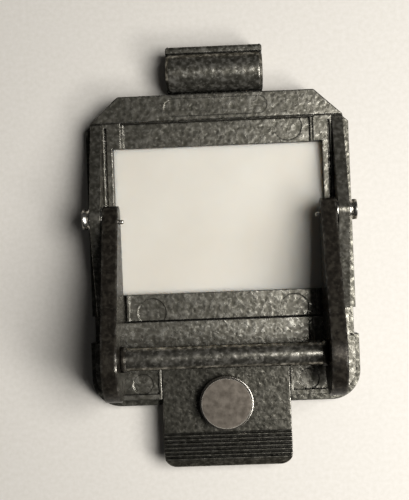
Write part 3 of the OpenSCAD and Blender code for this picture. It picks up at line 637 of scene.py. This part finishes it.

# %% [markdown]
# The slide rest is one casting with two looks: the ledge under the slide is painted paler, a painted sheen, and
# the tab with its grip ribs is painted darker, a painted shade. The faces are sorted by place. The ledge is wider
# than the tab, so its foot is the lowest point that lies outside the tab's width.

# %% Slide rest
GRIP_MM = 5
TAB_PLAY_MM = 0.5
rest = rounded("slide_rest", "slide_rest_casting", 0.21, material=ledge_enamel_painted_sheen, full=True)
rest.data.materials.append(tab_enamel_painted_shade)
corners = [vert.co for vert in rest.data.vertices]
grip_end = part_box("slide_rest")[0][1] + GRIP_MM * MM
tab_half = max(abs(co.x) for co in corners if co.y < grip_end)
ledge_foot = min(co.y for co in corners if abs(co.x) > tab_half + TAB_PLAY_MM * MM)
# Faces below the ledge's foot take the tab's darker grey, a painted shade.
for face in rest.data.polygons:
    face.material_index = 1 if face.center.y < ledge_foot else 0
print("ledge ends at y", round(ledge_foot / MM, 2), "mm")

# %% [markdown]
# Two cheeks stand beside the window and carry the bail: two cast arms, joined by a round bar. The
# arms' edges are well rounded, because fingers lift them, a collar at each end of the bar takes up
# the play, and a small bright pin stands out of each arm's inner face.

# %% Cheeks and bail
rounded("left_cheek", "left_cheek_plate", 0.35)
rounded("right_cheek", "right_cheek_plate", 0.35)
rounded("left_arm", "left_arm_plate", 1.2, segments=5)
rounded("right_arm", "right_arm_plate", 1.2, segments=5)
rounded("cross_bar", "cross_bar_rod", 0.25)
rounded("bar_collars", "bar_collar_rings", 0.4)
rounded("arm_nubs", "arm_nub_pins", 0.4)

# %% [markdown]
# Screws, washers and bushes are small, but a glint on a bevelled rim is what makes them read as
# metal, so they get their own fine roundings. The window and the frame that holds it from behind
# only need their edges broken, so the same loop makes them.

# %% Fasteners, bushes and window
fine_roundings_mm = {
    "name_plate_screws": 0.08, "case_screws": 0.12, "diffuser_screws": 0.1, "barrel_screws": 0.08,
    "cheek_screws": 0.06, "bar_screws": 0.2, "pivot_washers": 0.12, "knob_washer": 0.12,
    "pivot_bushes": 0.08, "clamp_bush": 0.15, "clamp_screw": 0.3, "diffuser_retainer": 0.15,
    "opal_window": 0.12,
}
for node, radius_mm in fine_roundings_mm.items():
    rounded(node, f"{node}_finished", radius_mm, segments=2)

# %% [markdown]
# The pivot pins have turned heads with a screwdriver slot and a groove round the middle. The groove
# is cut into a copy of the pin: four planes slice new loops round the head, and the loops between
# the middle two are drawn in towards the axis.

# %% Pivot pins with a turned groove
GROOVE_FROM_END_MM = 1.35
GROOVE_WIDTH_MM = 0.5
GROOVE_DEPTH_MM = 0.3
GROOVE_WALL_MM = 0.12
PIN_BREAK_MM = 0.12


def grooved_pin(node, name, side):
    """A pivot pin whose head lies on that side, with a groove turned round the head."""
    bm = merged(node)
    head_end = max(abs(corner[0]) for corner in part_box(node))
    outer = head_end - (GROOVE_FROM_END_MM - GROOVE_WIDTH_MM / 2) * MM
    inner = head_end - (GROOVE_FROM_END_MM + GROOVE_WIDTH_MM / 2) * MM
    wall = GROOVE_WALL_MM * MM
    for x in (outer, outer - wall, inner + wall, inner):
        bmesh.ops.bisect_plane(
            bm, geom=bm.verts[:] + bm.edges[:] + bm.faces[:],
            plane_co=(side * x, 0, 0), plane_no=(1, 0, 0),
        )
    for vert in bm.verts:
        if inner + wall / 2 < side * vert.co.x < outer - wall / 2:
            spoke = Vector((0, vert.co.y - pivot.y, vert.co.z - pivot.z))
            vert.co -= spoke.normalized() * GROOVE_DEPTH_MM * MM
    bevel_edges(bm, PIN_BREAK_MM, 2)
    piece = finished(bm, name, node, bright_steel)
    print(f"{name}: groove {round((outer - inner) / MM, 2)} mm wide")
    return piece


grooved_pin("left_pivot_pin", "left_pivot_pin_turned", -1)
grooved_pin("right_pivot_pin", "right_pivot_pin_turned", 1)

# %% [markdown]
# The clamp knob is turned from bar: a flat satin top, a low bright break at each end, and a straight
# knurl round the rim. Its half section is spun round the clamp's axis, one step to each rib of the
# knurl, so every rim face can be inset and pushed outwards on its own to make a rib.

# %% Clamp knob
KNURL_RIBS = 56
KNURL_DEPTH_MM = 0.3
KNURL_SLOPE_MM = 0.12
KNOB_BREAK_MM = 0.5
KNOB_BREAK_DROP_MM = 0.22
WELD_MM = 0.001


def spun(profile, steps):
    """Spins a half section of (radius, height) in metres round Z, merged and facing outwards."""
    bm = bmesh.new()
    ring = [bm.verts.new((radius, 0, height)) for radius, height in profile]
    edges = [bm.edges.new(pair) for pair in zip(ring, ring[1:])]
    bmesh.ops.spin(
        bm, geom=ring + edges, cent=(0, 0, 0), axis=(0, 0, 1), angle=math.tau, steps=steps,
        use_merge=True,
    )
    bmesh.ops.remove_doubles(bm, verts=bm.verts[:], dist=WELD_MM * MM)
    bmesh.ops.recalc_face_normals(bm, faces=bm.faces[:])
    return bm


def clamp_knob():
    """The knurled clamp knob, as wide and as high as the frame's plain one."""
    low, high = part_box("clamp_knob")
    rim = (high[0] - low[0]) / 2 - KNURL_DEPTH_MM * MM
    inner = rim + (KNURL_DEPTH_MM - KNOB_BREAK_MM) * MM
    drop = KNOB_BREAK_DROP_MM * MM
    bm = spun([
        (0, low[2]), (inner, low[2]), (rim, low[2] + drop),
        (rim, high[2] - drop), (inner, high[2]), (0, high[2]),
    ], KNURL_RIBS)
    bmesh.ops.translate(bm, verts=bm.verts[:], vec=(clamp_axis.x, clamp_axis.y, 0))
    wear = bm.faces.layers.float.new("edge_wear")
    rim_faces = [face for face in bm.faces if abs(face.normal.z) < 0.1]
    bmesh.ops.inset_individual(
        bm, faces=rim_faces, thickness=KNURL_SLOPE_MM * MM, depth=KNURL_DEPTH_MM * MM,
    )
    for face in bm.faces:
        face[wear] = 1.0 if 0.2 < abs(face.normal.z) < 0.9 else 0.0
    piece = finished(bm, "clamp_knob_knurled", "clamp_knob", satin_knob)
    print("knob:", len(rim_faces), "ribs, radius", round(rim / MM, 2), "mm under the knurl")
    return piece


clamp_knob()

# %% [markdown]
# The brass bush in the back takes a tripod screw. Its thread is a true helix: a zigzag is spun one
# full turn while it climbs one pitch, so each tooth meets the next one's start and merging the
# doubles joins them. Two planes trim the helix flat, and each open rim is drawn out to the bush's
# wall.

# %% Thread of the camera bush
CAMERA_THREAD_D_MM = 6.35
THREAD_PITCH_MM = 1.27
THREAD_DEPTH_MM = 0.6
THREAD_STEPS = 48


def inner_thread(height):
    """The inner surface of a threaded hole in metres, trimmed flat at 0 and at its height."""
    pitch = THREAD_PITCH_MM * MM
    crest = CAMERA_THREAD_D_MM / 2 * MM
    root = crest + THREAD_DEPTH_MM * MM
    turns = math.ceil(height / pitch) + 2
    zigzag = [
        (radius, (turn + part) * pitch)
        for turn in range(-1, turns) for part, radius in ((0, crest), (0.5, root))
    ]
    bm = bmesh.new()
    ring = [bm.verts.new((radius, 0, z)) for radius, z in zigzag]
    edges = [bm.edges.new(pair) for pair in zip(ring, ring[1:])]
    bmesh.ops.spin(
        bm, geom=ring + edges, cent=(0, 0, 0), axis=(0, 0, 1), dvec=(0, 0, pitch / THREAD_STEPS),
        angle=math.tau, steps=THREAD_STEPS,
    )
    bmesh.ops.remove_doubles(bm, verts=bm.verts[:], dist=WELD_MM * MM)
    for z, up in ((0, -1), (height, 1)):
        bmesh.ops.bisect_plane(
            bm, geom=bm.verts[:] + bm.edges[:] + bm.faces[:], plane_co=(0, 0, z),
            plane_no=(0, 0, up), clear_outer=True,
        )
    return bm


print("thread:", CAMERA_THREAD_D_MM, "mm across, pitch", THREAD_PITCH_MM, "mm")

# %% [markdown]
# The rest of the bush is drawn out of the thread's two open rims: each rim is extruded, its new
# points move out to the wall's radius, and bridging the two outer rims closes the bush.

# %% Camera bush
RIM_MM = 0.0001


def camera_bush():
    """The threaded brass bush, as wide and as high as the frame's plain one."""
    low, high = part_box("camera_bush")
    outer = (high[0] - low[0]) / 2
    height = high[2] - low[2]
    middle = [(a + b) / 2 for a, b in zip(low, high)]
    bm = inner_thread(height)
    rims = []
    for z in (0, height):
        rim = [
            edge for edge in bm.edges
            if edge.is_boundary and all(abs(vert.co.z - z) < RIM_MM * MM for vert in edge.verts)
        ]
        drawn = bmesh.ops.extrude_edge_only(bm, edges=rim)["geom"]
        for vert in [item for item in drawn if isinstance(item, bmesh.types.BMVert)]:
            vert.co.xy = vert.co.xy.normalized() * outer
        rims += [edge for edge in drawn if isinstance(edge, bmesh.types.BMEdge) and edge.is_boundary]
    bmesh.ops.bridge_loops(bm, edges=rims)
    bmesh.ops.remove_doubles(bm, verts=bm.verts[:], dist=WELD_MM * MM)
    bmesh.ops.recalc_face_normals(bm, faces=bm.faces[:])
    bmesh.ops.translate(bm, verts=bm.verts[:], vec=(middle[0], middle[1], low[2]))
    open_edges = sum(not edge.is_manifold for edge in bm.edges)
    piece = finished(bm, "camera_bush_threaded", "camera_bush", brass)
    print("camera bush:", len(piece.data.polygons), "faces,", open_edges, "open edges")
    return piece


camera_bush()

# %% [markdown]
# The stage lies on a plain pale table top. Its paint is nearly even, and a fine noise keeps the wide
# surface from looking computed.

# %% Table top
TABLE_M = 4.0
MOTTLE_MM = 1.2

bpy.ops.mesh.primitive_plane_add(size=TABLE_M, location=(0, 0, 0))
table_top = bpy.context.object
table_top.name = "table_top"
table_paint, tree, shader, place = start_material("table_paint", Roughness=0.7)
mottle = add(
    tree, "ShaderNodeTexNoise", {"Vector": place, "Scale": pattern_scale(MOTTLE_MM), "Detail": 3.0},
)
tone = ramp(tree, mottle.outputs["Fac"], [(0.3, linear("#dad5cd")), (0.7, linear("#e1dcd5"))])
tree.links.new(tone, shader.inputs["Base Color"])
table_top.data.materials.append(table_paint)
print("table top", TABLE_M, "m wide")

# %% [markdown]
# One large soft lamp hangs to the right of the stage. Its broad reflection makes the enamel shine
# towards the right, and the arms throw soft shadows to the left. A weaker lamp, lower and nearer the
# foot, brings the sheen of the right shelf and the lugs. A very faint surround keeps the deepest
# seams from going fully black.

# %% Lamps and surround
LAMP_WHITE = "#fffefb"
SURROUND_STRENGTH = 0.03


def soft_lamp(name, place_mm, size_mm, watts):
    """A round area lamp that looks at the middle of the stage."""
    data = bpy.data.lights.new(name, "AREA")
    data.shape = "DISK"
    data.size = size_mm * MM
    data.energy = watts
    data.color = linear(LAMP_WHITE)[:3]
    lamp = bpy.data.objects.new(name, data)
    lamp.location = Vector(place_mm) * MM
    lamp.rotation_euler = (-lamp.location).to_track_quat("-Z", "Y").to_euler()
    bpy.context.scene.collection.objects.link(lamp)
    return lamp


soft_lamp("ceiling_light", place_mm=(186, 3, 400), size_mm=240, watts=1.88)
soft_lamp("low_light", place_mm=(200, -110, 240), size_mm=110, watts=0.44)
world = bpy.data.worlds.new("surround")
bpy.context.scene.world = world
world.use_nodes = True
surround = world.node_tree.nodes["Background"]
surround.inputs["Color"].default_value = linear("#f2f2f2")
surround.inputs["Strength"].default_value = SURROUND_STRENGTH
print("lamps:", [lamp.name for lamp in bpy.data.lights])
